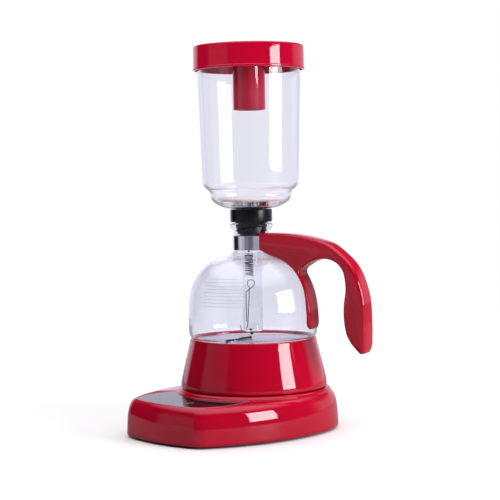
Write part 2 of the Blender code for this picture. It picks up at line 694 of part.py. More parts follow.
def filter_cloth(parent):
    """The cloth cover drawn over the disc and gathered under it, open in the middle below."""
    outer = [(0, 217.4), (22, 217.2), (30, 216.4), (FILTER_RADIUS, 214.4)]
    outer += [(31, 213), (27, 211.9), (20, 210.6), (12, 209.9)]
    inner = [(12, 211), (26.4, 212.7), (28.7, 213.2), (28.9, 214.8), (27.6, 215.7), (0, 215.7)]
    make_object("filter_cloth", turned(outer + inner, ROUND_MEDIUM), ((0.86, 0.84, 0.84), 0.9), parent)


def filter_spring(parent):
    """Coil spring between the disc's rod and the ring, hanging beside the stem's wall."""
    per_turn = 8
    count = int(SPRING_TURNS * per_turn)
    centre = polar(SPRING_OFFSET, HOOK_ANGLE)
    low, high = SPRING_BOTTOM + WIRE_RADIUS, SPRING_TOP - WIRE_RADIUS
    path = []
    for i in range(count + 1):
        x, y = polar(SPRING_RADIUS, 2 * math.pi * i / per_turn)
        path.append((centre[0] + x, centre[1] + y, low + (high - low) * i / count))
    make_object("filter_spring", swept(path, [WIRE_RADIUS] * len(path), 4), (STEEL, 0.3, 1.0), parent)


def filter_hook(parent):
    """One bent wire: an eye at the top, two legs, and a hook over the stem's rim."""
    eye_centre, eye_radius = (1.5, 134.6), 3.4
    rim = STEM_END - 1.0
    hook = [(12.0, 94.6), (11.2, 91), (10.2, rim + 0.2), (8.6, rim - 0.2), (7.0, rim + 0.8), (5.9, 92.5)]
    leg = [(4.9, 97), (4.0, 112), (3.0, 127)]
    eye = arc(eye_centre, eye_radius, math.radians(-60), math.radians(225), 12)
    back_leg = [(6.2, 126.5), (6.2, 112), (6.0, 98)]
    outline = smooth_curve(hook + leg, 2) + eye + back_leg
    path = []
    for i, (distance, height) in enumerate(outline):
        lean = 0.7 * (i / (len(outline) - 1) - 0.5)
        path.append((distance, lean, height))
    shape = swept(path, [WIRE_RADIUS] * len(path), 5)
    make_object("filter_hook", shape, (STEEL, 0.25, 1.0), parent, turn=HOOK_ANGLE)


def chain_lead(parent):
    """The chain's first beads, which hang from the hook's foot."""
    x, y = polar(CHAIN_TOP_RADIUS, HOOK_ANGLE)
    route = [(x, y, CHAIN_TOP), (x * 0.7, y * 0.7, CHAIN_TOP - 4), CHAIN_CORNER]
    path, radii = bead_chain(smooth_curve(route, 8), BEAD_PITCH, BEAD_RADIUS)
    make_object("chain_lead", swept(path, radii, 5), (STEEL, 0.25, 1.0), parent)


def boiling_chain(parent):
    """The rest of the bead chain, lying on the heater plate."""
    height = HEATER_TOP + BEAD_RADIUS + GAP
    route = []
    for distance, swing in ((4, 0.12), (18, -0.06), (30, 0.05), (41, -0.03), (51, 0.02)):
        lying = Vector((*polar(distance, CHAIN_ANGLE + swing), height))
        route.append(lying - Vector(CHAIN_CORNER))
    path, radii = bead_chain(smooth_curve(route, 8), BEAD_PITCH, BEAD_RADIUS)
    make_object("boiling_chain", swept(path, radii, 5), (STEEL, 0.25, 1.0), parent)


def bead_chain(curve, pitch, radius):
    """Points and radii of a string of beads along the curve, with thin links between beads."""
    link = radius * 0.3
    stops = [0.0]
    for a, b in zip(curve, curve[1:]):
        stops.append(stops[-1] + (Vector(b) - Vector(a)).length)
    beads = int(stops[-1] / pitch)
    path = []
    radii = []
    for bead in range(beads):
        for step, size in ((-0.98, link), (-0.55, radius * 0.86), (0.55, radius * 0.86), (0.98, link)):
            distance = bead * pitch + radius * (1 + step)
            path.append(point_along(curve, stops, distance))
            radii.append(size)
    return path, radii


def point_along(curve, stops, distance):
    for i, stop in enumerate(stops[1:], 1):
        if stop >= distance:
            part = (distance - stops[i - 1]) / (stop - stops[i - 1])
            return Vector(curve[i - 1]).lerp(Vector(curve[i]), part)
    return Vector(curve[-1])


# --- Lid ----------------------------------------------------------------------------------


def lid(parent):
    """Red cap over the chamber's rim, with the tube that holds the stem when it is a stand."""
    outside = [(0, LID_TOP), (49.6, LID_TOP), (51.4, 358.5), (52.2, 356.8), (LID_RADIUS, LID_BOTTOM)]
    inner = LID_RADIUS - LID_WALL
    ledge = GLASS_RIM + GAP
    inside = [(inner, LID_BOTTOM), (inner - 0.3, ledge), (LID_LEDGE_RADIUS, ledge)]
    inside.append((LID_LEDGE_RADIUS, LID_CEILING))
    bore = TUBE_RADIUS - TUBE_WALL
    tube = [(TUBE_RADIUS, LID_CEILING), (TUBE_RADIUS, TUBE_BOTTOM), (bore, TUBE_BOTTOM)]
    tube += [(bore, LID_CEILING), (0, LID_CEILING)]
    make_object("lid", turned(outside + inside + tube, ROUND_LARGE), (RED, 0.12), parent)


# --- Assembly -----------------------------------------------------------------------------


def clear_scene():
    for obj in list(bpy.data.objects):
        bpy.data.objects.remove(obj)


def stand_over_origin(root):
    """Moves the whole object so that the origin is under the middle of its box."""
    bpy.context.view_layer.update()
    graph = bpy.context.evaluated_depsgraph_get()
    low = Vector((math.inf, math.inf))
    high = -low
    for obj in bpy.context.scene.objects:
        if obj.type != "MESH" or obj.hide_render:
            continue
        evaluated = obj.evaluated_get(graph)
        for vertex in evaluated.data.vertices:
            place = evaluated.matrix_world @ vertex.co
            low = Vector((min(low.x, place.x), min(low.y, place.y)))
            high = Vector((max(high.x, place.x), max(high.y, place.y)))
    middle = (low + high) / 2
    root.location = (-round(middle.x, 4), -round(middle.y, 4), 0)


def main():
    clear_scene()
    root = frame("pot_axis", None)
    socket = frame("pot_socket_axis", root)
    socket.location.z = POT_DATUM * MM
    pot = frame("pot_swivel_axis", socket)
    funnel = frame("funnel_axis", pot)
    chain_frame = frame("chain_axis", funnel)
    chain_frame.location = Vector(CHAIN_CORNER) * MM
    filter_frame = frame("filter_axis", funnel)
    lid_frame = frame("lid_axis", funnel)

    for build in (base_housing, touch_panel, base_bottom_plate, feet, base_screws, base_connector):
        build(root)
    electronics(root)
    cord_inlet_bush(root)
    pot_connector(socket)
    for build in (pot_glass, heater_plate, glass_seal, heating_element, thermostat, pot_skirt):
        build(pot)
    for build in (pot_base_cover, cover_screws, neck_band, band_screw, band_nut, handle_body):
        build(pot)
    for build in (upper_glass, stopper, filter_hook, chain_lead):
        build(funnel)
    boiling_chain(chain_frame)
    for build in (filter_disc, filter_cloth, filter_spring):
        build(filter_frame)
    lid(lid_frame)
    stand_over_origin(root)


main()
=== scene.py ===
"""The looks of the siphon coffee maker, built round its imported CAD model.

Lengths are in millimetres in the pot's own frame (its axis is Z, heights count from the pot's
datum) and are turned into metres and moved to the row frame when a mesh is made.
"""

import math

import bmesh
import bpy
from mathutils import Matrix, Vector

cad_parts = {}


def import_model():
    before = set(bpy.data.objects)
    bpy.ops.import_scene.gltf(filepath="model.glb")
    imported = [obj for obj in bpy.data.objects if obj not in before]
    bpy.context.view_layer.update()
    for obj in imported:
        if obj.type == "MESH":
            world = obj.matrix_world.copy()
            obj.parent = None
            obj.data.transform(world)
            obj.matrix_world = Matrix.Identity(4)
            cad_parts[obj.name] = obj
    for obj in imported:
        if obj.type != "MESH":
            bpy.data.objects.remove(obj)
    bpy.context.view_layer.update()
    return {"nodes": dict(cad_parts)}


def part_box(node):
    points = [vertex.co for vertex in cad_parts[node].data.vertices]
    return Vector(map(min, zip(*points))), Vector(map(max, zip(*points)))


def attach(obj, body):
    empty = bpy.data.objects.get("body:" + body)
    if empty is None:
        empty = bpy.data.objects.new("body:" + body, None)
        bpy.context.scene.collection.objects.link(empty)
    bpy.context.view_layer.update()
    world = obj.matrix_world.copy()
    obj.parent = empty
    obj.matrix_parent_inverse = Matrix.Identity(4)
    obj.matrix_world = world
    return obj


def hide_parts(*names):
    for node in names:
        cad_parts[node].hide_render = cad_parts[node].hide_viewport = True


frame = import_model()
NODES = frame["nodes"]

MM = 0.001
socket_low, socket_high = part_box("pot_connector")
AXIS = Vector(((socket_low.x + socket_high.x) / 2, (socket_low.y + socket_high.y) / 2, 0))
DATUM = (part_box("upper_glass")[1].z - 0.347) * 1000  # the pot's heights are counted from here
HANDLE_TURN = math.radians(16)
HOOK_TURN = math.radians(226)
CHAIN_TURN = math.radians(285)
VIEW_AZIMUTH = math.radians(46)


# --- Curves -------------------------------------------------------------------------------


def polar(radius, angle):
    """A point on a circle round the axis, from its radius and angle."""
    return (radius * math.cos(angle), radius * math.sin(angle))


def arc(centre, radius, start, end, steps):
    """Points along a circle's arc, both ends among them."""
    angles = [start + (end - start) * i / steps for i in range(steps + 1)]
    return [(centre[0] + radius * math.cos(a), centre[1] + radius * math.sin(a)) for a in angles]


def smooth_curve(points, steps):
    """A Catmull-Rom curve through the points."""
    ends = [points[0]] + list(points) + [points[-1]]
    made = []
    for i in range(1, len(ends) - 2):
        a, b, c, d = (Vector(p) for p in ends[i - 1 : i + 3])
        for step in range(steps):
            t = step / steps
            square, cube = 2 * a - 5 * b + 4 * c - d, 3 * b - a - 3 * c + d
            made.append(0.5 * (2 * b + (c - a) * t + square * t**2 + cube * t**3))
    return [tuple(p) for p in made] + [tuple(points[-1])]


def filleted(points, steps=4, closed=True):
    """A polyline whose corners are rounded. Each point is (x, y) or (x, y, radius)."""
    made = []
    count = len(points)
    for i, point in enumerate(points):
        here = Vector(point[:2])
        radius = point[2] if len(point) > 2 else 0
        if radius <= 0 or (not closed and i in (0, count - 1)):
            made.append(tuple(here))
            continue
        before = Vector(points[i - 1][:2]) - here
        after = Vector(points[(i + 1) % count][:2]) - here
        half = before.angle(after) / 2
        reach = min(radius / math.tan(half), before.length * 0.49, after.length * 0.49)
        radius = reach * math.tan(half)
        centre = here + (before.normalized() + after.normalized()).normalized() * radius / math.sin(half)
        first = here + before.normalized() * reach - centre
        last = here + after.normalized() * reach - centre
        turn = first.angle_signed(last)
        for step in range(steps + 1):
            spin = Matrix.Rotation(-turn * step / steps, 2)
            made.append(tuple(centre + spin @ first))
    return made


def offset(points, distance):
    """The open curve moved to the left of its travel. distance is one number, or one for each point."""
    moved = []
    for i, point in enumerate(points):
        before = Vector(points[max(i - 1, 0)])
        after = Vector(points[min(i + 1, len(points) - 1)])
        along = (after - before).normalized()
        by = distance[i] if isinstance(distance, list) else distance
        moved.append((point[0] - along.y * by, point[1] + along.x * by))
    return moved


# --- Meshes -------------------------------------------------------------------------------


def piece(name, shape, finish, body, stands_for=(), slot=None, turn=0.0, rise=DATUM, at=(0, 0), sharp=38):
    """Makes an object from a bmesh in millimetres, and lets it ride on a body."""
    bmesh.ops.recalc_face_normals(shape, faces=shape.faces)
    place = Matrix.Translation(AXIS + Vector((0, 0, rise * MM))) @ Matrix.Rotation(turn, 4, "Z")
    place = place @ Matrix.Translation(Vector((at[0], at[1], 0)) * MM) @ Matrix.Scale(MM, 4)
    bmesh.ops.transform(shape, matrix=place, verts=shape.verts)
    mesh = bpy.data.meshes.new(name)
    shape.to_mesh(mesh)
    shape.free()
    mesh.shade_smooth()
    if sharp:
        mesh.set_sharp_from_angle(angle=math.radians(sharp))
    obj = bpy.data.objects.new(name, mesh)
    bpy.context.scene.collection.objects.link(obj)
    mesh.materials.append(finish)
    if body:
        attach(obj, body)
    if stands_for:
        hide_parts(*stands_for)
    if slot == "clear_glass":
        # Light, shadows and reflections of the other pieces pass the thin glass unchanged.
        obj.visible_shadow = obj.visible_diffuse = obj.visible_glossy = False
    return obj


def lathe(profile, sides=128):
    """The closed profile of (radius, height) turned about Z."""
    shape = bmesh.new()
    rings = []
    for radius, height in profile:
        if radius < 1e-4:
            rings.append([shape.verts.new((0, 0, height))])
            continue
        circle = [polar(radius, 2 * math.pi * i / sides) for i in range(sides)]
        rings.append([shape.verts.new((x, y, height)) for x, y in circle])
    skin(shape, rings, True)
    return shape


def skin(shape, rings, wrap):
    """Faces between each ring and the next. A ring of one vertex is a pole."""
    sides = max(len(ring) for ring in rings)
    following = rings[1:] + rings[:1] if wrap else rings[1:]
    for first, second in zip(rings, following):
        for i in range(sides):
            j = (i + 1) % sides
            corners = [
                first[i % len(first)], first[j % len(first)], second[j % len(second)],
                second[i % len(second)]
            ]
            corners = list(dict.fromkeys(corners))
            if len(corners) > 2:
                shape.faces.new(corners)


def loft(loops, capped=True):
    """A skin over loops of equal length, closed at both ends if capped."""
    shape = bmesh.new()
    rings = [[shape.verts.new(p) for p in loop] for loop in loops]
    skin(shape, rings, False)
    if capped:
        shape.faces.new(reversed(rings[0]))
        shape.faces.new(rings[-1])
    return shape


def prism(outline, low, high):
    """A straight solid over an outline, from low to high."""
    return loft([[(x, y, z) for x, y in outline] for z in (low, high)])


def sweep(path, radii, sides=10, shape=None):
    """A round tube along the path."""
    shape = shape or bmesh.new()
    points = [Vector(p) for p in path]
    radii = radii if isinstance(radii, list) else [radii] * len(points)
    side, rings = None, []
    for i, point in enumerate(points):
        along = (points[min(i + 1, len(points) - 1)] - points[max(i - 1, 0)]).normalized()
        side = along.orthogonal() if side is None else side - along * side.dot(along)
        side.normalize()
        other = along.cross(side)
        ring = []
        for k in range(sides):
            x, y = polar(radii[i], 2 * math.pi * k / sides)
            ring.append(shape.verts.new(point + side * x + other * y))
        rings.append(ring)
    skin(shape, rings, False)
    shape.faces.new(reversed(rings[0]))
    shape.faces.new(rings[-1])
    return shape


def along_y(shape, at, low=0.0):
    """Lays a shape made along Z along +Y, its foot at y = low, over the point at = (x, z)."""
    bmesh.ops.rotate(shape, cent=(0, 0, 0), matrix=Matrix.Rotation(-math.pi / 2, 3, "X"), verts=shape.verts)
    bmesh.ops.translate(shape, vec=(at[0], low, at[1]), verts=shape.verts)
    return shape


def cut(target, *cutters):
    """Cuts shapes, given in millimetres in the target's own frame, out of the target."""
    for shape, turn, rise in cutters:
        helper = piece("cutter", shape, target.data.materials[0], None, turn=turn, rise=rise)
        modifier = target.modifiers.new("Cut", "BOOLEAN")
        modifier.operation, modifier.solver, modifier.object = "DIFFERENCE", "EXACT", helper
        with bpy.context.temp_override(object=target, active_object=target, selected_objects=[target]):
            bpy.ops.object.modifier_apply(modifier=modifier.name)
        bpy.data.objects.remove(helper)


def bevelled(obj, width, segments=3, angle=40):
    """Rounds the object's sharp edges and returns the object."""
    modifier = obj.modifiers.new("Bevel", "BEVEL")
    modifier.width, modifier.segments, modifier.angle_limit = width * MM, segments, math.radians(angle)
    modifier.harden_normals = True
    return obj


# --- Materials ----------------------------------------------------------------------------


class Finish:
    """A Principled material with helpers that add its procedural detail."""

    def __init__(self, name, colour, roughness, **values):
        self.made = bpy.data.materials.new(name)
        self.made.use_nodes = True
        self.tree = self.made.node_tree
        self.shader = self.tree.nodes["Principled BSDF"]
        self.set(Base_Color=(*colour, 1), Roughness=roughness, **values)
        self.colour, self.roughness = colour, roughness
        self.where = self.tree.nodes.new("ShaderNodeTexCoord").outputs["Object"]

    def set(self, **values):
        """Sets sockets of the shader. An underscore in a name stands for a space."""
        for key, value in values.items():
            self.shader.inputs[key.replace("_", " ")].default_value = value

    def node(self, kind, **inputs):
        """A shader node with its inputs linked or set."""
        made = self.tree.nodes.new("ShaderNode" + kind)
        for key, value in inputs.items():
            socket = made.inputs[key.replace("_", " ")]
            if isinstance(value, bpy.types.NodeSocket):
                self.tree.links.new(value, socket)
            else:
                socket.default_value = value
        return made

    def stretched(self, x=1.0, y=1.0, z=1.0):
        """The place on the object with each axis scaled, for grain and brushing."""
        return self.node("Mapping", Vector=self.where, Scale=(x, y, z)).outputs["Vector"]

    def noise(self, scale, detail=2.0, where=None):
        """A noise texture's factor at a scale."""
        made = self.node("TexNoise", Vector=where or self.where, Scale=scale, Detail=detail)
        return made.outputs["Fac"]

    def spread(self, source, low, high, start=0.3, end=0.7):
        """source from start to end, mapped to low to high."""
        made = self.node("MapRange", Value=source)
        for name, value in (("From Min", start), ("From Max", end), ("To Min", low), ("To Max", high)):
            made.inputs[name].default_value = value
        return made.outputs["Result"]

    def mixed(self, source, other, start=0.3, end=0.7):
        """The base colour turns to the other colour where source rises from start to end."""
        made = self.tree.nodes.new("ShaderNodeMix")
        made.data_type = "RGBA"
        made.inputs["A"].default_value = (*self.colour, 1)
        made.inputs["B"].default_value = (*other, 1)
        self.tree.links.new(self.spread(source, 0, 1, start, end), made.inputs["Factor"])
        self.tree.links.new(made.outputs["Result"], self.shader.inputs["Base Color"])
        return made.outputs["Result"]

    def rough(self, source, low, high, start=0.3, end=0.7):
        """Varies the roughness between two values."""
        self.tree.links.new(self.spread(source, low, high, start, end), self.shader.inputs["Roughness"])

    def bump(self, source, distance, strength=0.5):
        """Raises the surface by a height."""
        made = self.node("Bump", Height=source, Strength=strength, Distance=distance * MM)
        if self.shader.inputs["Normal"].is_linked:
            self.tree.links.new(self.shader.inputs["Normal"].links[0].from_socket, made.inputs["Normal"])
        self.tree.links.new(made.outputs["Normal"], self.shader.inputs["Normal"])


def red_plastic(name, colour):
    """Glossy crimson moulded plastic: faint flow clouds, wiped smudges and a slight orange peel."""
    f = Finish(name, colour, 0.05, Specular_IOR_Level=0.5)
    f.mixed(f.noise(22, 3), tuple(0.87 * c for c in colour))
    f.rough(f.noise(60, 4), 0.03, 0.08, 0.40, 0.80)
    f.bump(f.noise(900, 2), 0.012, 0.25)
    f.bump(f.noise(70, 2), 0.05, 0.10)
    return f.made


def glass(name, tint, bending=1.47):
    """Blown borosilicate: clear, with slow thickness waves and cloudy patches of paler tint."""
    f = Finish(name, tint, 0.0, Transmission_Weight=1.0, IOR=bending)
    f.mixed(f.noise(18, 3), tuple(min(1, c * 1.012) for c in tint))
    f.bump(f.noise(1, 1, f.stretched(26, 26, 9)), 0.14, 0.22)
    return f.made


def steel(name, colour, low, high, brushed):
    """Bright metal: fine wipe marks along brushed = (x, y, z) scales, and soft stains."""
    f = Finish(name, colour, low, Metallic=1.0)
    f.mixed(f.noise(45, 3), tuple(c * 0.82 for c in colour), 0.45, 0.75)
    grain = f.noise(1, 4, f.stretched(*brushed))
    f.rough(grain, low, high)
    f.bump(grain, 0.01, 0.25)
    return f.made


def moulded(name, colour, low, high, grain=700, other=1.35, shine=0.5):
    """Plain moulded plastic or rubber with a fine sparked texture."""
    f = Finish(name, colour, low, Specular_IOR_Level=shine)
    f.mixed(f.noise(35, 3), tuple(min(1, c * other) for c in colour))
    f.rough(f.noise(90, 3), low, high)
    f.bump(f.noise(grain, 3), 0.02, 0.25)
    return f.made


def touch_black():
    """Hard-coated black acrylic, almost a mirror, with faint wipe marks."""
    f = Finish(
        "black_touch_panel", (0.006, 0.006, 0.008), 0.03, Specular_IOR_Level=0.35,
        Specular_Tint=(0.76, 0.74, 1.0, 1)
    )
    f.mixed(f.noise(30, 2), (0.010, 0.010, 0.014))
    f.rough(f.noise(1, 4, f.stretched(30, 160, 30)), 0.02, 0.07, 0.4, 0.8)
    f.bump(f.noise(40, 1), 0.04, 0.06)
    return f.made


def cotton(name, other, start, end, where=(1, 1, 1), scale=55):
    """Woven cotton: two crossed sets of threads, and blotches of the other colour; with a dark other colour
    and a fine vertical stretch the marks are thin streaks of painted shade in the creases.
    """
    f = Finish(name, (0.86, 0.82, 0.82), 0.9, Sheen_Weight=0.3)
    f.mixed(f.noise(scale, 4, f.stretched(*where)), other, start, end)
    for axis in ("X", "Y"):
        wave = f.node("TexWave", Vector=f.where, Scale=420, Distortion=0.4)
        wave.bands_direction = axis
        f.bump(wave.outputs["Fac"], 0.12, 0.35)
    return f.made


def floor_white():
    """White paper. It throws back less light than it shows, as a small sheet in a dim room does."""
    f = Finish("studio_floor", (0.97, 0.97, 0.975), 0.6, Specular_IOR_Level=0.1)
    shown = f.mixed(f.noise(3, 2), (0.955, 0.955, 0.96))
    mix = f.tree.nodes.new("ShaderNodeMix")
    mix.data_type = "RGBA"
    f.tree.links.new(seen_directly(f.tree), mix.inputs["Factor"])
    mix.inputs["A"].default_value = (0.35, 0.35, 0.36, 1)
    f.tree.links.new(shown, mix.inputs["B"])
    f.tree.links.new(mix.outputs["Result"], f.shader.inputs["Base Color"])
    return f.made


RED = red_plastic("red_gloss_plastic", (0.55, 0.0022, 0.026))
LID_RED = red_plastic("red_lid_plastic", (0.57, 0.0012, 0.030))
POT_GLASS = glass("pot_glass", (0.885, 0.885, 0.955))
NECK_GLASS = glass("neck_glass", (0.93, 0.93, 0.97), 1.2)
CHAMBER_GLASS = glass("chamber_glass", (0.932, 0.932, 0.985))
STEM_GLASS = glass("thin_stem_glass", (0.97, 0.97, 0.98))
STEM_STEEL = steel("wire_steel", (0.13, 0.13, 0.15), 0.16, 0.30, (900, 900, 60))
BEAD_STEEL = steel("bead_steel", (0.025, 0.025, 0.04), 0.25, 0.40, (900, 900, 900))
PLATE_STEEL = steel("plate_steel", (0.90, 0.91, 0.93), 0.22, 0.38, (500, 500, 500))
CHROME = steel("polished_chrome", (0.72, 0.71, 0.77), 0.02, 0.06, (60, 60, 700))
SCREW_STEEL = steel("screw_steel", (0.55, 0.55, 0.56), 0.22, 0.40, (700, 700, 90))
RUBBER = moulded("black_rubber", (0.0035, 0.0045, 0.0075), 0.20, 0.32, shine=0.3)
BLACK = moulded("black_moulded", (0.018, 0.018, 0.020), 0.42, 0.60)
PANEL = touch_black()
# Mid grey on the panel's bevelled rim: a painted highlight along its chamfer.
PANEL_EDGE_HIGHLIGHT = moulded("panel_edge_painted_highlight", (0.30, 0.30, 0.34), 0.12, 0.22, 900)
COTTON = cotton("filter_cotton", (0.78, 0.70, 0.69), 0.4, 0.75)
# Pale cotton with thin dark vertical streaks: painted shade in the creases of the gathered cloth.
CREASE_SHADE_COTTON = cotton("cotton_painted_crease_shade", (0.03, 0.02, 0.03), 0.50, 0.56, (1, 1, 0.25), 330)


# --- Camera, light and floor --------------------------------------------------------------


CAMERA_TILT, CAMERA_ROLL, CAMERA_LENS = 2.77, 1.0, 102.8
CAMERA_DISTANCE, CAMERA_HEIGHT, CAMERA_ASIDE = 1.357, 0.2345, 0.00171


def camera():
    """Slightly above the pot's middle, looking a little down, with a long lens."""
    elevation, roll = math.radians(CAMERA_TILT), math.radians(CAMERA_ROLL)
    level = math.cos(elevation)
    back = Vector((math.sin(VIEW_AZIMUTH) * level, -math.cos(VIEW_AZIMUTH) * level, math.sin(elevation)))
    flat_back = Vector((math.sin(VIEW_AZIMUTH), -math.cos(VIEW_AZIMUTH), 0))
    right = Vector((math.cos(VIEW_AZIMUTH), math.sin(VIEW_AZIMUTH), 0))
    up = back.cross(right)
    data = bpy.data.cameras.new("camera")
    data.lens, data.sensor_width = CAMERA_LENS, 36.0
    made = bpy.data.objects.new("camera", data)
    bpy.context.scene.collection.objects.link(made)
    across = right * math.cos(roll) - up * math.sin(roll)
    upward = up * math.cos(roll) + right * math.sin(roll)
    turned = Matrix((across, upward, back)).transposed().to_4x4()
    place = AXIS + flat_back * CAMERA_DISTANCE - right * CAMERA_ASIDE + Vector((0, 0, CAMERA_HEIGHT))
    made.matrix_world = Matrix.Translation(place) @ turned
    bpy.context.scene.camera = made


def toward(angle, elevation=0.0):
    """A direction counted in degrees from the camera's side, positive to the right."""
    turn = VIEW_AZIMUTH + math.radians(angle)
    lift = math.radians(elevation)
    return Vector((math.sin(turn) * math.cos(lift), -math.cos(turn) * math.cos(lift), math.sin(lift)))


def softbox(name, angle, elevation, distance, width, height, radiance, colour=(1, 1, 1), aim=0.2):
    """A rectangular light that faces the object. radiance is what its surface shows."""
    data = bpy.data.lights.new(name, "AREA")
    data.shape, data.size, data.size_y = "RECTANGLE", width, height
    data.energy, data.color = radiance * math.pi * width * height, colour
    made = bpy.data.objects.new(name, data)
    bpy.context.scene.collection.objects.link(made)
    centre = AXIS + Vector((0, 0, aim))
    made.location = centre + toward(angle, elevation) * distance
    made.rotation_mode = "QUATERNION"
    made.rotation_quaternion = (made.location - centre).to_track_quat("Z", "Y")
    made.visible_camera = False
    return made


def shader_node(tree, kind, **inputs):
    """A node with its inputs linked or set. An underscore in a name stands for a space."""
    made = tree.nodes.new("ShaderNode" + kind)
    for key, value in inputs.items():
        socket = made.inputs[key.replace("_", " ")]
        if isinstance(value, bpy.types.NodeSocket):
            tree.links.new(value, socket)
        else:
            socket.default_value = value
    return made


def seen_directly(tree):
    """1 for what the eye sees, also through glass, and 0 for light and reflections."""
    path = shader_node(tree, "LightPath")
    return arithmetic(tree, "MAXIMUM", path.outputs["Is Camera Ray"], path.outputs["Is Transmission Ray"])


def arithmetic(tree, operation, first, second):
    """A Math node's result on two values or sockets."""
    made = tree.nodes.new("ShaderNodeMath")
    made.operation = operation
    for socket, value in zip(made.inputs, (first, second)):
        if isinstance(value, bpy.types.NodeSocket):
            tree.links.new(value, socket)
        else:
            socket.default_value = value
    return made.outputs["Value"]


def blend(tree, factor, first, second):
    """first where factor is 0, second where it is 1."""
    return shader_node(tree, "Mix", Factor=factor, A=first, B=second).outputs["Result"]


def level_ramp(tree, share, stops):
    """A level for each direction round the object, given as (degrees, level)."""
    ramp = shader_node(tree, "ValToRGB", Fac=share)
    elements = ramp.color_ramp.elements
    while len(elements) < len(stops):
        elements.new(0.5)
    for element, (angle, level) in zip(elements, stops):
        element.position, element.color = (angle + 180) / 360, (level, level, level, 1)
    return ramp.outputs["Color"]


def along_direction(tree, direction, way):
    """How far the direction points the given way, from -1 to 1."""
    made = shader_node(tree, "VectorMath", Vector=direction)
    made.operation = "DOT_PRODUCT"
    made.inputs[1].default_value = way
    return made.outputs["Value"]


def world():
    """White to the eye and behind the object, dimmer round its front, with a soft white ceiling."""
    made = bpy.data.worlds.new("studio")
    bpy.context.scene.world = made
    made.use_nodes = True
    tree = made.node_tree
    tree.nodes.clear()
    direction = shader_node(tree, "TexCoord").outputs["Generated"]
    turn = tree.nodes.new("ShaderNodeMath")
    turn.operation = "ARCTAN2"
    tree.links.new(along_direction(tree, direction, toward(90)), turn.inputs[0])
    tree.links.new(along_direction(tree, direction, toward(0)), turn.inputs[1])
    share = shader_node(tree, "MapRange", Value=turn.outputs["Value"], From_Min=-math.pi, From_Max=math.pi)
    above = (
        (-180, 0.9), (-150, 0.9), (-138, 0.95), (-131, 0.02), (-95, 0.02), (-89, 0.33), (-48, 0.33),
        (-42, 0.05), (100, 0.05), (112, 0.65), (150, 0.65), (172, 0.9), (180, 0.9)
    )
    below = (
        (-180, 0.9), (-138, 0.9), (-131, 0.02), (-96, 0.02), (-84, 0.40), (-77, 0.78), (-60, 0.58),
        (-47, 0.50), (-38, 0.22), (-28, 0.30), (-15, 0.18), (2, 0.20), (10, 0.40), (17, 0.52), (42, 0.50),
        (48, 1.0), (66, 1.0), (72, 0.3), (131, 0.3), (138, 0.9), (180, 0.9)
    )
    height = shader_node(tree, "SeparateXYZ", Vector=direction).outputs["Z"]
    upper = shader_node(tree, "MapRange", Value=height, From_Min=-0.015, From_Max=0.015).outputs["Result"]
    round_about = blend(
        tree, upper, level_ramp(tree, share.outputs["Result"], below),
        level_ramp(tree, share.outputs["Result"], above)
    )
    path = shader_node(tree, "LightPath").outputs
    fading = shader_node(
        tree, "MapRange", Value=height, From_Min=0.22, From_Max=0.38, To_Min=0.0, To_Max=0.9
    )
    mirrored = arithmetic(tree, "MULTIPLY", path["Is Glossy Ray"], path["Is Reflection Ray"])
    fading = arithmetic(tree, "MULTIPLY", fading.outputs["Result"], mirrored)
    round_about = arithmetic(tree, "MULTIPLY", round_about, arithmetic(tree, "SUBTRACT", 1.0, fading))
    ceiling = shader_node(
        tree, "MapRange", Value=height, From_Min=0.55, From_Max=0.80, To_Min=0.0, To_Max=1.75
    )
    lit = arithmetic(tree, "MAXIMUM", round_about, ceiling.outputs["Result"])
    in_glass = arithmetic(tree, "GREATER_THAN", path["Transmission Depth"], 0.5)
    in_glass = arithmetic(tree, "MULTIPLY", in_glass, path["Is Singular Ray"])
    away = shader_node(
        tree, "MapRange", Value=along_direction(tree, direction, toward(0)), From_Min=0.2, From_Max=-0.2
    )
    in_glass = arithmetic(tree, "MULTIPLY", in_glass, away.outputs["Result"])
    lit = arithmetic(tree, "MAXIMUM", lit, arithmetic(tree, "MULTIPLY", in_glass, 0.75))
    background = shader_node(tree, "Background", Strength=blend(tree, seen_directly(tree), lit, 1.0))
    tint = tree.nodes.new("ShaderNodeMix")
    tint.data_type = "RGBA"
    tree.links.new(mirrored, tint.inputs["Factor"])
    tint.inputs["A"].default_value = (1, 1, 1, 1)
    tint.inputs["B"].default_value = (0.97, 0.94, 1.12, 1)
    tree.links.new(tint.outputs["Result"], background.inputs["Color"])
    tree.links.new(background.outputs["Background"], shader_node(tree, "OutputWorld").inputs["Surface"])


def floor():
    """A round sheet of paper, wide enough to catch every shadow."""
    shape = lathe([(0, 0), (400, 0), (1300, 0), (1300, -2), (0, -2)], 96)
    piece("studio_floor", shape, floor_white(), None, rise=0)


def studio():
    """One large softbox on the right, a small light on the lid's side, and plain colours."""
    softbox("key_strip", 56, 9.5, 1.6, 0.60, 0.62, 15.2, (1.0, 0.965, 0.99))
    lid_fill = softbox("lid_fill", -62, 12, 0.55, 0.26, 0.26, 0.42, aim=0.35)
    lid_fill.data.spread = math.radians(40)
    lid_fill.visible_glossy = False
    bpy.context.scene.view_settings.view_transform = "Standard"


# --- Base ---------------------------------------------------------------------------------

BASE_BACK, BASE_SIDE, BASE_CORNER, BASE_FRONT = 80.0, 165.0, 24.0, 165.0
SIDE_FORWARD, FRONT_REACH = 20.0, 126.0
DECK, SEAT_TOP, SEAT_FLOOR, CEILING = 35.7, 38.7, 34.0, 32.0


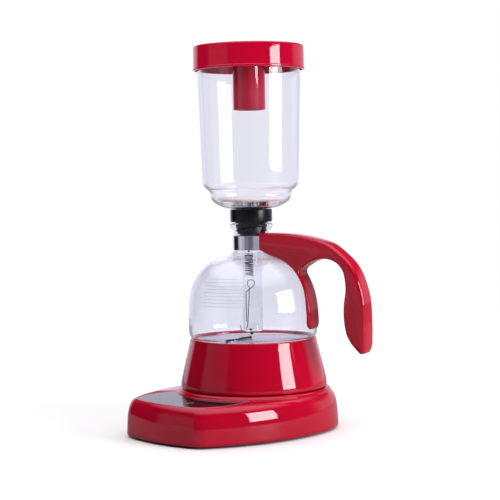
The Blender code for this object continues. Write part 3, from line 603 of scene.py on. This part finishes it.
def base_outline(inset):
    """Four arcs that touch: back, side, corner and front, on both sides."""
    reach = BASE_SIDE - BASE_BACK
    side = Vector((-math.sqrt(reach**2 - SIDE_FORWARD**2), -SIDE_FORWARD))
    front = Vector((0, BASE_FRONT - FRONT_REACH))
    from_side, from_front = BASE_SIDE - BASE_CORNER, BASE_FRONT - BASE_CORNER
    apart = (front - side).length
    along = (apart**2 + from_side**2 - from_front**2) / (2 * apart)
    unit = (front - side) / apart
    corner = side + unit * along + Vector((unit.y, -unit.x)) * math.sqrt(from_side**2 - along**2)
    side_start = math.atan2(-side.y, -side.x)
    side_end = math.atan2(corner.y - side.y, corner.x - side.x)
    front_start = math.atan2(corner.y - front.y, corner.x - front.x)
    half = arc((0, 0), BASE_BACK - inset, math.pi / 2, side_start, 44)
    half += arc(side, BASE_SIDE - inset, side_start, side_end, 18)[1:]
    half += arc(corner, BASE_CORNER - inset, side_end, front_start, 16)[1:]
    half += arc(front, BASE_FRONT - inset, front_start, -math.pi / 2, 14)[1:]
    return half + [(-x, y) for x, y in half[-2:0:-1]]


def panel_outline(margin):
    """A crescent round the front of the seat."""
    side = [
        (0, -117), (23.5, -115.6), (37.6, -112.2), (47.2, -104.2), (52.4, -93), (53.6, -79), (52.6, -66.5)
    ]
    tip = math.radians(-47)
    side.append(polar(75.6, tip))
    half = offset(smooth_curve(side, 8), -margin)
    half += arc((0, 0), 75.6 - margin, tip, -math.pi / 2, 30)
    return half + [(-x, y) for x, y in half[-2:0:-1]]


def base():
    """The housing with its seat and panel, and the plug that the pot drops onto."""
    outside = [(1.2, 2.0), (0.35, 2.2), (0.0, 2.9), (0.1, 6)]
    outside += [
        (0.3, 11), (0.6, 16), (1.05, 20.5), (1.7, 24.6), (2.6, 28.3), (3.8, 31.3), (5.3, 33.5),
        (7.0, 35.0), (9.0, DECK)
    ]
    outside = outside[:3] + smooth_curve(outside[3:], 3)
    inside = [(12.0, CEILING), (8.0, 30.4), (5.4, 26), (3.6, 18), (2.4, 2.0)]
    loops = [[(x, y, z) for x, y in base_outline(i + 0.1)] for i, z in outside]
    under = [[(x, y, z) for x, y in base_outline(i)] for i, z in inside]
    count = len(loops[0])
    angles = [math.atan2(y, x) for x, y, _ in loops[-1]]
    hole_top = [(*polar(64, a), DECK) for a in angles]
    hole_low = [(*polar(64, a), CEILING) for a in angles]
    shape = bmesh.new()
    rings = [[shape.verts.new(p) for p in loop] for loop in loops + [hole_top, hole_low] + under]
    skin(shape, rings, True)
    shell = piece("base_shell", shape, RED, "base", ["base_housing"], "red_plastic", rise=0, sharp=50)
    cut(shell, (prism(panel_outline(0.3), DECK - 1.5, DECK + 4), 0, 0))
    inlet = lathe([(0, 66), (4.9, 66), (4.9, 86), (0, 86)], 48)
    cut(shell, (along_y(inlet, (0, 13)), 0, 0))

    ring = [
        (72.4, DECK - 1.2), (72.9, DECK + 0.1), (72.7, 36.3), (72.1, 37.4), (71.2, 38.2), (69.8, SEAT_TOP)
    ]
    ring = smooth_curve(ring, 4) + [
        (58.6, SEAT_TOP), (58.1, SEAT_TOP - 0.5), (58, SEAT_FLOOR + 0.4), (57.6, SEAT_FLOOR)
    ]
    ring += [(20.4, SEAT_FLOOR), (20, SEAT_FLOOR - 0.4), (20, CEILING), (66, CEILING)]
    piece("base_seat", lathe(ring, 160), RED, "base", ["base_housing"], "red_plastic", rise=0)

    panel = piece(
        "base_touch_panel", prism(panel_outline(0), DECK - 1.2, DECK), PANEL, "base", ["touch_panel"],
        "touch_glass", rise=0, sharp=30
    )
    panel.data.materials.append(PANEL_EDGE_HIGHLIGHT)
    # The bevel's faces take the grey second finish, a painted highlight round the panel's edge.
    bevelled(panel, 0.45, 3).modifiers[0].material = 1
    touch_marks()

    plug = [(0, 49.5), (12.6, 49.5, 0.8), (13.6, 48.4, 0.8), (13.6, 31.7)]
    plug = filleted(plug + [(18.6, 31.7, 0.3), (18.6, 22, 0.5), (0, 22)], 4)
    piece("base_plug", lathe(plug, 64), BLACK, "base", ["base_connector"], "black_plastic", rise=0)
    for k, radius in enumerate((4.2, 8.2)):
        contact = filleted(
            [(radius, 49.3), (radius, 49.75, 0.1), (radius + 1.1, 49.75, 0.1), (radius + 1.1, 49.3)], 2
        )
        piece(f"base_plug_contact_{k + 1}", lathe(contact, 64), SCREW_STEEL, "base", slot="steel", rise=0)


def touch_marks():
    """Generic printed key symbols on the touch panel: a ring with a bar, and two plain rings."""
    pale = moulded("panel_print", (0.30, 0.30, 0.33), 0.3, 0.4, 900, 1.1)
    for k, (x, y, bar) in enumerate(((0, -99, True), (-17, -97, False), (17, -97, False))):
        shape = bmesh.new()
        start, end = (math.radians(125), math.radians(415)) if bar else (0, 2 * math.pi)
        rim = arc((0, 0), 3.3, start, end, 40)
        core = arc((0, 0), 2.7, end, start, 40)
        if bar:
            flat = prism(rim + core, DECK - 0.02, DECK + 0.03)
            stroke = prism([(-0.3, 0.8), (0.3, 0.8), (0.3, 4.2), (-0.3, 4.2)], DECK - 0.02, DECK + 0.03)
            mesh = bpy.data.meshes.new("stroke")
            stroke.to_mesh(mesh)
            flat.from_mesh(mesh)
        else:
            flat = lathe(
                [(2.7, DECK - 0.02), (3.3, DECK - 0.02), (3.3, DECK + 0.03), (2.7, DECK + 0.03)], 48
            )
        shape.free()
        piece(f"panel_mark_{k + 1}", flat, pale, "base", slot="touch_glass", rise=0, at=(x, y))


# --- Pot ----------------------------------------------------------------------------------


def dome(steps=6):
    """The outside of the lower glass below its neck, from the top down."""
    points = [
        (16.9, 168), (17.3, 165.6), (19.2, 163.3), (24, 161.1), (32, 158.4), (39.5, 154.8), (46.4, 149.6)
    ]
    points += [
        (50.6, 145.2), (53.9, 140.2), (56.6, 135), (58.5, 129.6), (59.7, 123.5), (60.5, 116), (61.1, 107)
    ]
    points += [(61.3, 99), (61.15, 92), (60.6, 87.5), (59.4, 84.8), (57.9, 83.1), (57.25, 81.4), (57.2, 79)]
    return smooth_curve(points, steps)


def pot_glass():
    """The lower glass in one piece: lip, neck and dome."""
    lip = [
        (16.0, 189.4), (16.2, 191.2), (17.1, 192.1), (18.4, 192.2), (19.7, 191.6), (20.3, 190.2),
        (19.9, 188.4), (18.7, 186.8)
    ]
    neck = [(17.5, 185.2), (16.95, 183.2), (16.9, 180)]
    outside = smooth_curve(lip + neck, 4) + dome()
    foot = [(57.2, 76.7), (56.7, 76.1), (55.6, 76.1), (55.05, 76.7)]
    inside = offset(dome(), -2.1)
    inside = [p for p in inside if p[0] > 15.2 or p[1] > 166][::-1]
    inner_neck = [(14.85, 168), (14.8, 176), (14.9, 183.5), (15.5, 187)]
    profile = outside + foot + inside[:-3] + smooth_curve([inside[-3]] + inner_neck, 4)[1:]
    bowl = piece("pot_bowl", lathe(profile, 144), POT_GLASS, "pot", ["pot_glass"], "clear_glass", sharp=0)
    bowl.data.materials.append(NECK_GLASS)
    for face in bowl.data.polygons:
        face.material_index = int(face.center.z > (181 + DATUM) * MM)


def level_marks():
    """Generic graduation lines of slightly differing lengths, printed round the left of the pot."""
    ink = moulded("grey_print", (0.56, 0.56, 0.63), 0.5, 0.6, 900, 1.1)
    curve = dome()
    middle = math.pi * 1.5 + VIEW_AZIMUTH - math.radians(28)
    for k in range(9):
        height = 142.0 - 3.1 * k
        a, b = next((a, b) for a, b in zip(curve, curve[1:]) if a[1] >= height > b[1])
        radius = a[0] + (b[0] - a[0]) * (a[1] - height) / (a[1] - b[1])
        half = math.radians((16, 21, 22, 19, 23, 22, 20, 23, 20)[k])
        loops = []
        for i in range(41):
            angle = middle - half + 2 * half * i / 40
            x, y = math.cos(angle), math.sin(angle)
            wall = ((radius + 0.02, -0.11), (radius + 0.08, -0.11), (radius + 0.06, 0.11), (radius, 0.11))
            loops.append([(r * x, r * y, height + z) for r, z in wall])
        piece(f"level_line_{k + 1}", loft(loops), ink, "pot", slot="clear_glass", sharp=30)


def pot_metal():
    """The heater plate, the strap round the neck and its screw."""
    top = [
        (0, 81.5), (47, 81.5, 1), (48.2, 80.9, 0.6), (49.6, 80.9, 0.6), (50.8, 81.5, 1), (53.6, 81.5, 1.1),
        (54.4, 80.6, 1), (54.4, 73.2, 0.5)
    ]
    under = [(58.4, 73.2, 0.3), (58.4, 71.8, 0.3), (53.1, 71.8, 0.5), (53.1, 79.5, 0.5), (0, 79.5)]
    piece("pot_plate", lathe(filleted(top + under), 144), PLATE_STEEL, "pot", ["heater_plate"], "steel")

    inner, outer = 17.2, 18.0
    gap = math.asin(2.1 / outer)
    ring = arc((0, 0), outer, gap, 2 * math.pi - gap, 120) + [(33.5, -2.1), (33.5, -1.3)]
    back = math.asin(1.3 / inner)
    ring += arc((0, 0), inner, 2 * math.pi - back, back, 120) + [(33.5, 1.3), (33.5, 2.1)]
    band = piece(
        "pot_neck_band", prism(ring, 166.8, 180.2), CHROME, "pot", ["neck_band"], "polished_steel",
        turn=HANDLE_TURN, sharp=30
    )
    cut(
        band,
        (along_y(lathe([(0, -12), (2.2, -12), (2.2, 12), (0, 12)], 32), (28.5, 173.6)), HANDLE_TURN, DATUM)
    )
    bevelled(band, 0.22, 2, 50)

    head = filleted(
        [(0, 2.2), (2.4, 2.2, 0.8), (3.4, 1.2, 0.7), (3.4, 0, 0.15), (1.9, 0), (1.9, -11), (0, -11)], 3
    )
    screw = piece(
        "handle_screw", along_y(lathe(head, 40), (28.5, 173.6), 5.0), SCREW_STEEL, "pot", ["band_screw"],
        "steel", turn=HANDLE_TURN
    )
    slots = [prism([(-a, -b), (a, -b), (a, b), (-a, b)], 1.3, 3.0) for a, b in ((2.1, 0.35), (0.35, 2.1))]
    cut(screw, *[(along_y(s, (28.5, 173.6), 5.0), HANDLE_TURN, DATUM) for s in slots])


def pot_shell():
    """The red skirt round the heater."""
    outer = [
        (60.0, 82.4), (60.3, 80.2), (61.2, 76.4), (62.6, 70.6), (64.4, 63.2), (66.3, 55.4), (67.9, 48.6),
        (68.9, 43.8), (69.35, 40.6), (69.4, 38.4)
    ]
    outer = smooth_curve(outer, 4)
    inner = offset(outer, -2.1)[::-1]
    top = [(58.3, 83.2), (58.9, 83.6), (59.5, 83.5)]
    low = [(69.1, 37.3), (68.4, 37.0), (67.7, 37.2)]
    piece(
        "pot_skirt_shell", lathe(outer + low + inner + top, 176), RED, "pot", ["pot_skirt"], "red_plastic",
        sharp=0
    )


def room(outline, i, normal):
    """How far the outline's point i can move inwards before it meets the other side."""
    here, best = Vector(outline[i]), 30.0
    for k in range(len(outline)):
        apart = Vector(outline[k]) - here
        inward = apart.dot(normal)
        if inward > 0.05:
            best = min(best, apart.length_squared / inward)
    return best


def flare(x):
    """The handle widens a little where it grips the neck."""
    near = min(max((38 - x) / 18, 0), 1)
    return 1 + 0.14 * near * near * (3 - 2 * near)


def tip_lift(x, z, across):
    """Both free ends of the handle are round, seen from the side they point to."""
    low, deep = (91.6, 6.5) if x < 80 else (70.6, 7.0)
    near = min(max((low + deep * 1.6 - z) / (deep * 1.6), 0), 1)
    return deep * (1 - math.sqrt(max(0, 1 - across**2))) * near


def handle():
    """The moulded handle: flat cheeks, rounded all round its edge, cut out inside for the clamp."""
    top = [(13, 183), (41, 182.3), (62, 179.6), (83, 174), (95, 166.5), (105.8, 157), (112.6, 147.5)]
    outer = [(117.3, 136), (120.9, 122), (121.9, 105), (122, 91), (121.5, 79.5)]
    tip = [(119.9, 73.4), (117.3, 70.9), (114.2, 72.4)]
    inner = [(107.4, 81.5), (102.2, 91), (100, 104), (100.1, 117), (101.8, 129), (101.6, 138.5)]
    arch = [(99.4, 148), (93.6, 155), (85.6, 158.5), (77, 159), (68.6, 157), (61.6, 153.4)]
    tongue = [
        (56.6, 149.8), (55.4, 145.4), (59.6, 136.5), (63.5, 126), (65.8, 114), (66.7, 103), (66.6, 96.5),
        (65.8, 93)
    ]
    outline = smooth_curve(top + outer + tip + inner + arch + tongue + [(64.2, 91.7), (62.8, 93.2)], 7)
    free = len(outline)
    hugging = [p for p in offset(dome(4), 0.9) if 96 < p[1] < 163]
    outline += hugging[::-1] + [(21, 163.4), (13, 167.4)]
    normals = []
    for i in range(len(outline)):
        along = (Vector(outline[(i + 1) % len(outline)]) - Vector(outline[i - 1])).normalized()
        normals.append(Vector((along.y, -along.x)))
    wanted = [1.2 + max(0, x - 15) * 0.08 if x < 40 else 3.0 for x, z in outline]
    wanted = wanted[:free] + [0.9] * (len(outline) - free)
    thick = [min(want, 0.40 * room(outline, i, normals[i])) for i, want in enumerate(wanted)]
    for _ in range(10):
        around = len(thick)
        averages = [(thick[i - 1] + thick[i] + thick[(i + 1) % around]) / 3 for i in range(around)]
        thick = [min(own, average) for own, average in zip(thick, averages)]
    half, edge, loops = 9.7, 3.2, []
    rounding = [math.radians(a) for a in (90, 72, 54, 38, 24, 12, 0)]
    levels = [(half - edge + edge * math.sin(a), 1 - math.cos(a)) for a in rounding]
    levels += [(-y, share) for y, share in levels[::-1]]
    for y, share in levels:
        loop = [
            (p[0] + n.x * r * share, p[1] + n.y * r * share) for p, n, r in zip(outline, normals, thick)
        ]
        loops.append([(x, y * flare(x), z + tip_lift(x, z, y / half)) for x, z in loop])
    obj = piece(
        "pot_handle", loft(loops), RED, "pot", ["handle_body"], "red_plastic", turn=HANDLE_TURN, sharp=55
    )
    slot = prism([(13.5, -6.4), (35.5, -6.4), (35.5, 3.3), (13.5, 3.3)], 160.4, 180.4)
    saddle = lathe([(0, 158), (18.3, 158), (18.3, 188), (0, 188)], 96)
    bore = along_y(lathe([(0, 0), (2.2, 0), (2.2, 14), (0, 14)], 32), (28.5, 173.6))
    counterbore = along_y(lathe([(0, 0), (3.9, 0), (3.9, 14), (0, 14)], 40), (28.5, 173.6), 4.7)
    cut(obj, *[(s, HANDLE_TURN, DATUM) for s in (slot, saddle, bore, counterbore)])
    obj.data.set_sharp_from_angle(angle=math.radians(40))


# --- Upper chamber ------------------------------------------------------------------------


def chamber():
    """The upper glass with its stem, and the stopper on it."""
    wall = [
        (48.9, 345.2), (48.3, 320), (47.6, 300), (46.9, 271), (46.2, 248), (45.75, 236), (45.4, 230.6),
        (44.4, 227.3)
    ]
    step = [
        (42.4, 224.9), (40.2, 223.3), (38.8, 221.7), (38.3, 219.8), (38.3, 217.6), (37.8, 215.6),
        (36.6, 213.5)
    ]
    bowl = [
        (34.2, 211.3), (30, 208.9), (25.4, 207), (20, 206), (15.4, 205.7), (12.4, 204.8), (10.2, 202.4),
        (9.35, 199), (9.3, 190), (9.3, 140), (9.3, 91)
    ]
    outside = smooth_curve(wall + step + bowl, 5)
    thickness = [-1.3 if z < 200 else -1.3 - 0.9 * min(1, (z - 200) / 9) for _, z in outside]
    inside = offset(outside, thickness)[::-1]
    rim = [(46.95, 346.5), (47.8, 347.0), (48.6, 346.6)]
    end = [(9.0, 89.7), (8.65, 89.5), (8.3, 89.7)]
    glass_piece = piece(
        "chamber_glass", lathe(outside + end + inside + rim, 144), CHAMBER_GLASS, "funnel",
        ["upper_glass"], "clear_glass", sharp=0
    )
    glass_piece.data.materials.append(STEM_GLASS)
    for face in glass_piece.data.polygons:
        face.material_index = int(face.center.z < (200 + DATUM) * MM)

    flange = [(15.6, 205.3, 0.3), (19.9, 205.3, 1.0), (19.9, 193.2, 1.0), (15.6, 193.2, 0.4)]
    ribs = [
        (15.3, 189.6, 0.5), (14.4, 188.9, 0.4), (14.4, 187.6, 0.4), (14.75, 187.0, 0.4),
        (14.75, 184.6, 0.5), (13.4, 184.0, 0.3)
    ]
    ribs += [(13.4, 182.6, 0.3), (13.7, 182.2, 0.3), (13.5, 180.4, 0.4), (12.4, 178.5, 0.6)]
    bore = [(9.6, 178.5, 0.3), (9.6, 199.3, 0.3)]
    piece(
        "chamber_stopper", lathe(filleted(flange + ribs + bore), 112), RUBBER, "funnel", ["stopper"],
        "black_rubber"
    )


def filter_parts():
    """The disc with its rod, and the gathered cloth over it."""
    low = 213.2
    disc = [(0, 215.2), (28, 215.2, 0.4), (28, low, 0.4), (3.2, low, 0.5)]
    disc = filleted(disc + [(2.4, low - 5, 0.5), (0, low - 5)])
    shape = lathe(disc, 96)
    x, y = polar(2.9, HOOK_TURN)
    path = smooth_curve(
        [(0, 0, low - 4), (0, 0, low - 12), (x * 0.7, y * 0.7, low - 26), (x, y, low - 38), (x, y, 163)], 8
    )
    sweep(path, 0.85, 12, shape)
    piece("filter_core", shape, STEM_STEEL, "filter", ["filter_disc"], "steel")

    sides = 340
    profile = [
        (0.0, 217.35, 0), (9, 217.3, 0), (18, 217.15, 0), (24, 216.95, 0), (28, 216.6, 0),
        (30.4, 216.0, 0), (31.6, 215.2, 0), (31.85, 214.3, 0.1)
    ]
    profile += [
        (31.3, 213.4, 0.15), (29.0, 212.8, 0.3), (25.0, 212.5, 0.4), (21.6, 212.1, 0.6),
        (19.2, 211.3, 1.0), (17.6, 210.5, 1.3), (16.4, 209.9, 1.6)
    ]
    shape, rings = bmesh.new(), []
    for radius, height, pleat in profile:
        if radius == 0:
            rings.append([shape.verts.new((0, 0, height))])
            continue
        ring = []
        for i in range(sides):
            a = 2 * math.pi * i / sides
            wave = math.sin(34 * a + 0.9 * math.sin(5 * a))
            lift = pleat * 0.8 * wave + 0.10 * math.sin(5 * a + radius * 0.3)
            r = radius + pleat * 0.6 * math.sin(34 * a + 0.9 * math.sin(5 * a) + 1.2)
            ring.append(shape.verts.new((*polar(r, a), height + lift)))
        rings.append(ring)
    skin(shape, rings, False)
    cloth = piece("filter_cover", shape, COTTON, "filter", ["filter_cloth"], "filter_cloth", sharp=0)
    # The cloth's lower faces, where it is gathered into pleats, take the second finish, whose dark streaks
    # are painted crease shade.
    cloth.data.materials.append(CREASE_SHADE_COTTON)
    for face in cloth.data.polygons:
        face.material_index = int(face.center.z < (212.0 + DATUM) * MM)
    modifier = cloth.modifiers.new("Solidify", "SOLIDIFY")
    modifier.thickness, modifier.offset = 0.45 * MM, -1
    hem = []
    for i in range(73):
        wave = math.sin(27 * 2 * math.pi * i / 72)
        hem.append((*polar(12.3, 2 * math.pi * i / 72), 209.1 + 0.35 * wave))
    # The drawstring wears the same cotton with streaks of painted crease shade.
    string = piece("filter_drawstring", sweep(hem, 0.42, 8), CREASE_SHADE_COTTON, "filter", slot="filter_cloth")


def hook_and_spring():
    """The filter's coil spring, and the bent wire hook with its eye."""
    centre = polar(2.9, HOOK_TURN)
    turns, per_turn, low, high = 9.5, 20, 142.0, 160.0
    path = []
    for i in range(int(turns * per_turn) + 1):
        x, y = polar(4.0, 2 * math.pi * i / per_turn)
        path.append((centre[0] + x, centre[1] + y, low + (high - low) * i / (turns * per_turn)))
    end = path[-1]
    across, along = (end[0] - centre[0]) * 0.5, (end[1] - centre[1]) * 0.5
    halfway = (centre[0] + across, centre[1] + along + 1.4, high + 0.9)
    top = smooth_curve([end, halfway, (centre[0], centre[1], high + 1.4)], 6)
    piece(
        "filter_coil", sweep(path + top[1:], 0.42, 8), STEM_STEEL, "filter", ["filter_spring"], "steel",
        sharp=0
    )

    rim = 88.5
    hook = [(12.0, 94.6), (11.4, 91.2), (10.4, rim + 0.3), (8.7, rim - 0.3), (7.1, rim + 0.7), (5.9, 92.3)]
    leg = [(4.9, 97), (4.0, 112), (3.0, 127)]
    eye = arc((1.5, 134.6), 3.4, math.radians(-60), math.radians(225), 28)
    back_leg = [(6.2, 126.5), (6.2, 112), (5.9, 98)]
    outline = smooth_curve(hook + leg, 8) + eye + smooth_curve(back_leg, 6)
    count = len(outline)
    path = [(r, 0.7 * (i / (count - 1) - 0.5), z) for i, (r, z) in enumerate(outline)]
    piece(
        "filter_pull_hook", sweep(path, 0.42, 10), STEM_STEEL, "funnel", ["filter_hook"], "steel",
        turn=HOOK_TURN, sharp=0
    )


def beads(route):
    """A string of beads along a smooth route, with a thin link between each two."""
    route = [Vector(p) for p in smooth_curve(route, 14)]
    stops = [0.0]
    for a, b in zip(route, route[1:]):
        stops.append(stops[-1] + (b - a).length)
    path, radii, pitch, size = [], [], 3.9, 1.6
    for bead in range(int(stops[-1] / pitch)):
        for step in range(10):
            turn = math.pi * (step / 9)
            distance = bead * pitch + size * (1 - math.cos(turn) * 0.97)
            i = next(k for k in range(1, len(stops)) if stops[k] >= min(distance, stops[-1]))
            share = (min(distance, stops[-1]) - stops[i - 1]) / (stops[i] - stops[i - 1])
            path.append(route[i - 1].lerp(route[i], share))
            radii.append(max(size * math.sin(turn), 0.42))
    return sweep(path, radii, 12)


def chain():
    """The beads that hang from the hook, and those that lie on the plate."""
    corner = (0.6, -0.4, 84.0)
    x, y = polar(2.6, HOOK_TURN)
    piece(
        "chain_hanging", beads([(x, y, 92.4), (x * 0.7, y * 0.7, 88.4), corner]), BEAD_STEEL, "funnel",
        ["chain_lead"], "steel", sharp=0
    )
    wander = ((4, 0.12), (18, -0.06), (30, 0.05), (41, -0.03), (51, 0.02))
    route = [(*polar(r, CHAIN_TURN + s), 83.25) for r, s in wander]
    piece("chain_lying", beads(route), BEAD_STEEL, "chain", ["boiling_chain"], "steel", sharp=0)


def lid():
    """The lid with its rim and its tube."""
    outside = [(0, 359.3), (52.25, 359.3, 1.7), (52.5, 338.8, 0.5), (52.9, 338.2, 0.4), (52.9, 336.4, 0.6)]
    inside = [(50.7, 336.4, 0.5), (50.4, 347.3, 0.6), (45.5, 347.3, 0.4), (45.3, 356.6, 1.2)]
    tube = [(15.3, 356.6, 1.5), (15.3, 299, 0.7), (13.1, 299, 0.6), (13.1, 356.6, 0.8), (0, 356.6)]
    piece(
        "lid_cap", lathe(filleted(outside + inside + tube), 160), LID_RED, "lid", ["lid"], "red_plastic",
        sharp=45
    )


def cad_finishes():
    """Finishes for the CAD pieces that are shown as they are."""
    board = moulded("circuit_board", (0.015, 0.10, 0.035), 0.35, 0.5, 300, 1.6)
    silicone = moulded("pale_silicone", (0.78, 0.78, 0.78), 0.45, 0.6, 500, 1.1)
    finishes = {
        "base_bottom_plate": BLACK, "pot_base_cover": BLACK, "pot_connector": BLACK,
        "thermostat": BLACK, "buzzer": BLACK,
        "cord_inlet_bush": RUBBER, "glass_seal": silicone,
        "heating_element": SCREW_STEEL, "band_nut": SCREW_STEEL, "control_board": board,
        "touch_board": board,
        "power_relay": moulded("blue_relay", (0.02, 0.07, 0.28), 0.4, 0.55),
        "transformer": moulded("transformer_tape", (0.70, 0.54, 0.09), 0.4, 0.6),
    }
    for name, obj in NODES.items():
        finish = finishes.get(name)
        if name.startswith("foot_"):
            finish = RUBBER
        elif "screw_" in name:
            finish = SCREW_STEEL
        elif name.startswith("board_pillar"):
            finish = silicone
        if finish:
            obj.data.materials.clear()
            obj.data.materials.append(finish)


camera()
world()
studio()
floor()
base()
pot_glass()
level_marks()
pot_metal()
pot_shell()
handle()
chamber()
filter_parts()
hook_and_spring()
chain()
lid()
cad_finishes()
